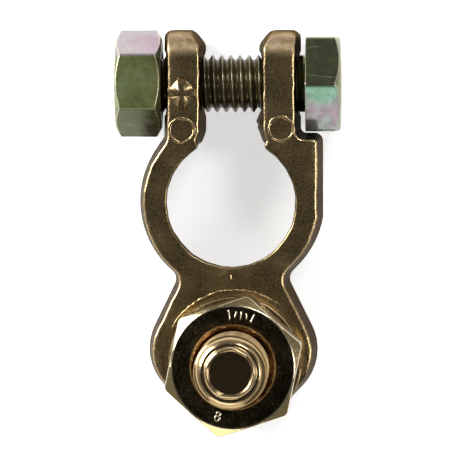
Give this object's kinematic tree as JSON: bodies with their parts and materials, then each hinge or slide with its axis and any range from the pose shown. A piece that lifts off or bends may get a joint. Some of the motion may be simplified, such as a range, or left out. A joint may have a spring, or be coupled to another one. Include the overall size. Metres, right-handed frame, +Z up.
{
  "type": "battery post clamp with cable stud",
  "caption": "Brass split-ring battery post clamp, drawn tight by a cross bolt and nut, with an upright threaded stud, spring washer and nut for a cable lug.",
  "frame": {"origin": "on the battery post's axis, in the plane of the flat underside", "axes": "+Z up the post and the cable stud, away from the battery; +Y from the stud's lug to the ears; +X along the clamp bolt towards its head"},
  "size_m": [0.0309, 0.055, 0.036],
  "materials": {
    "cast_brass": "die-cast brass, darkened, with bright worn edges",
    "yellow_zinc_bolt": "yellow-passivated zinc plated steel, iridescent green and pink",
    "yellow_zinc_nut": "yellow-passivated zinc plated steel, iridescent olive and lilac",
    "brass_stud": "bright rolled thread, pinkish gold",
    "spring_steel": "yellow-passivated spring steel, satin",
    "golden_nut": "golden plated, dark brown top face and bright chamfers"
  },
  "bodies": {
    "clamp": {"clamp_body": "cast_brass", "terminal_stud": "brass_stud"},
    "bolt": {"clamp_bolt": "yellow_zinc_bolt"},
    "bolt_nut": {"clamp_nut": "yellow_zinc_nut"},
    "washer": {"stud_spring_washer": "spring_steel"},
    "cable_nut": {"stud_nut": "golden_nut"}
  },
  "joints": [
    {"name": "clamp_nut_spin", "type": "hinge", "parent": "clamp", "child": "bolt_nut", "pos_m": [-0.0128, 0.01615, 0.0077], "axis": [-1, 0, 0], "range_deg": [-30, 1350]},
    {"name": "clamp_bolt_slide", "type": "slide", "parent": "clamp", "child": "bolt", "axis": [1, 0, 0], "range_m": [-0.00015, 0.0047]},
    {"name": "stud_nut_spin", "type": "hinge", "parent": "washer", "child": "cable_nut", "pos_m": [0.0006, -0.0218, 0.0206], "axis": [0, 0, 1], "range_deg": [0, 4500]},
    {"name": "stud_washer_lift", "type": "slide", "parent": "clamp", "child": "washer", "axis": [0, 0, 1], "range_m": [-0.0001, 0.0188]}
  ],
  "couplings": [
    {"joint": "clamp_bolt_slide", "follows": "clamp_nut_spin", "m_per_rad": 0.00019894},
    {"joint": "stud_washer_lift", "follows": "stud_nut_spin", "m_per_rad": 0.00023873}
  ]
}
